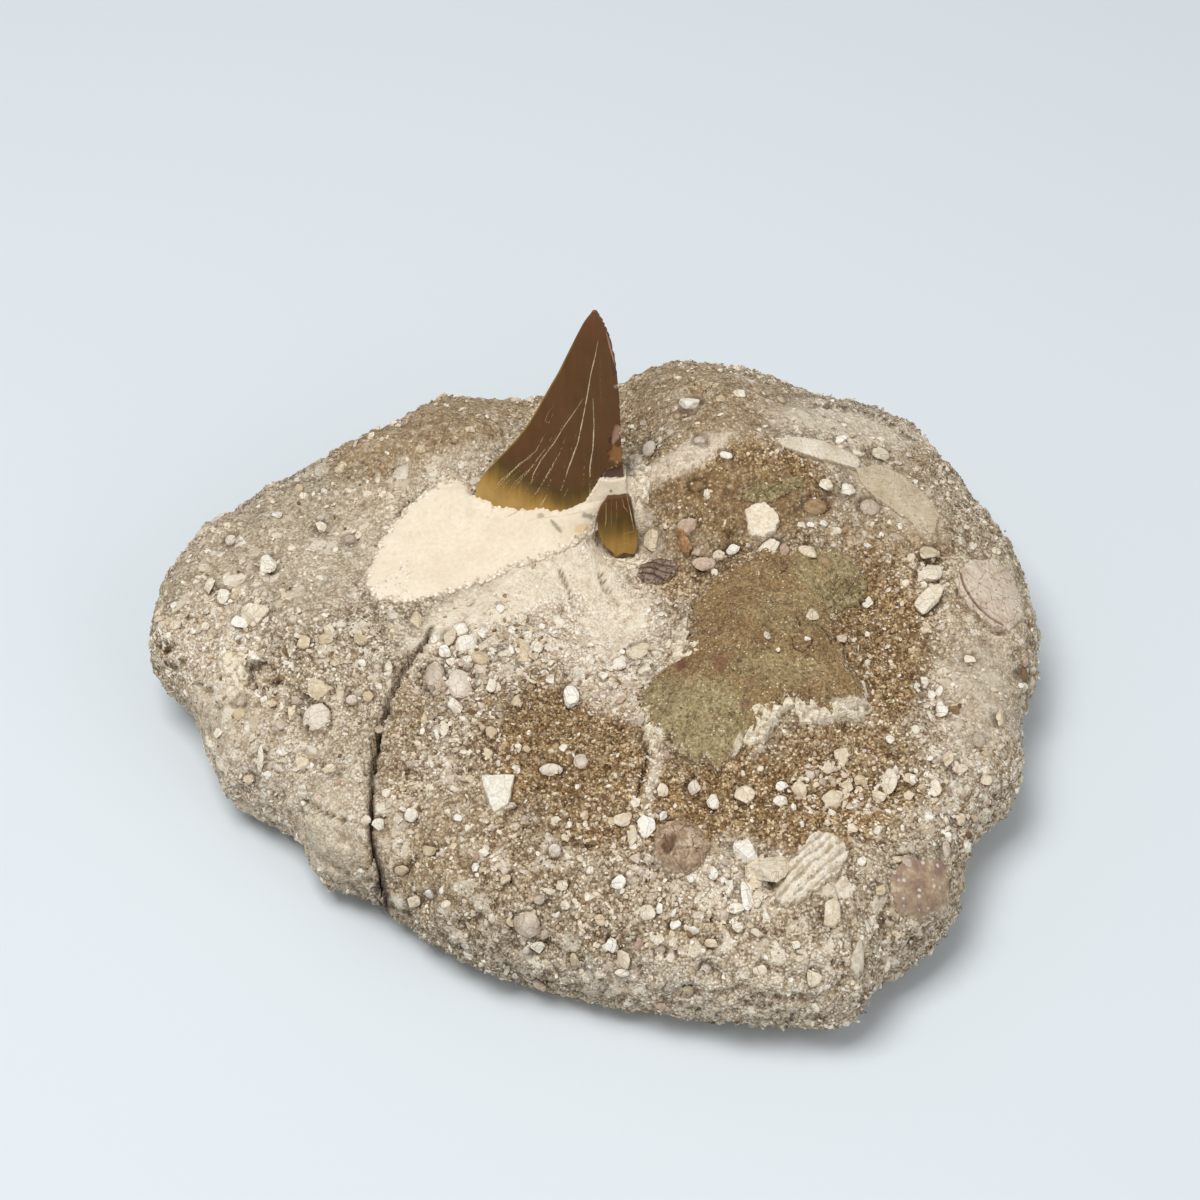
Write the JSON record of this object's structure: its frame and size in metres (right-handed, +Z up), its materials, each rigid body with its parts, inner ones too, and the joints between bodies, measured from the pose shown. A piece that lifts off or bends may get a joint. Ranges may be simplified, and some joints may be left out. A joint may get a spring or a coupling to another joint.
{
  "type": "fossil shark tooth in matrix",
  "caption": "Fossil shark tooth with a cracked brown enamel crown, standing in a loose lump of pale phosphate sandstone full of bone and shell fragments, for display on a flat surface.",
  "frame": {"origin": "middle of the flat spot that the lump rests on, at the height of the floor", "axes": "+X to the right along the lump's length, seen from the tooth's broad face; +Y to the back; +Z up from the floor"},
  "size_m": [0.147, 0.1327, 0.0622],
  "materials": {
    "matrix": "rough, granular phosphate sand, dry and matt",
    "tooth_crown": "smooth fossil enamel, satin gloss, with fine cracks",
    "crown_heel": "smooth fossil enamel, satin gloss, amber towards its foot",
    "putty_fill": "smooth cream putty, matt",
    "bone_plate": "fossil bone, dull, crumbly towards its edge",
    "scale_fragment": "fossil, pale and matt, with fine ribs",
    "ribbed_boss": "fossil, dull, with ribs running out from its middle",
    "pale_disc": "fossil, cream and matt",
    "shell_wedge": "fossil shell, off-white, slightly satin",
    "small_tooth": "smooth fossil enamel, satin",
    "bone_chip": "fossil bone, dark, dull satin",
    "cream_bone_strip": "fossil bone, smooth and cream",
    "tan_bone_strip": "fossil bone, smooth and tan",
    "pink_nodule": "smooth pinkish phosphate nodule, matt",
    "purple_nodule": "reddish-purple phosphate nodule, matt",
    "pale_blade": "thin fossil shell, pale, slightly satin"
  },
  "bodies": {
    "root": {"matrix": "matrix", "tooth_crown": "tooth_crown", "crown_heel": "crown_heel", "putty_fill": "putty_fill", "bone_plate": "bone_plate", "scale_fragment": "scale_fragment", "ribbed_boss": "ribbed_boss", "pale_disc": "pale_disc", "shell_wedge": "shell_wedge", "small_tooth": "small_tooth", "bone_chip": "bone_chip", "cream_bone_strip": "cream_bone_strip", "tan_bone_strip": "tan_bone_strip", "pink_nodule": "pink_nodule", "purple_nodule": "purple_nodule", "pale_blade": "pale_blade"}
  },
  "joints": []
}
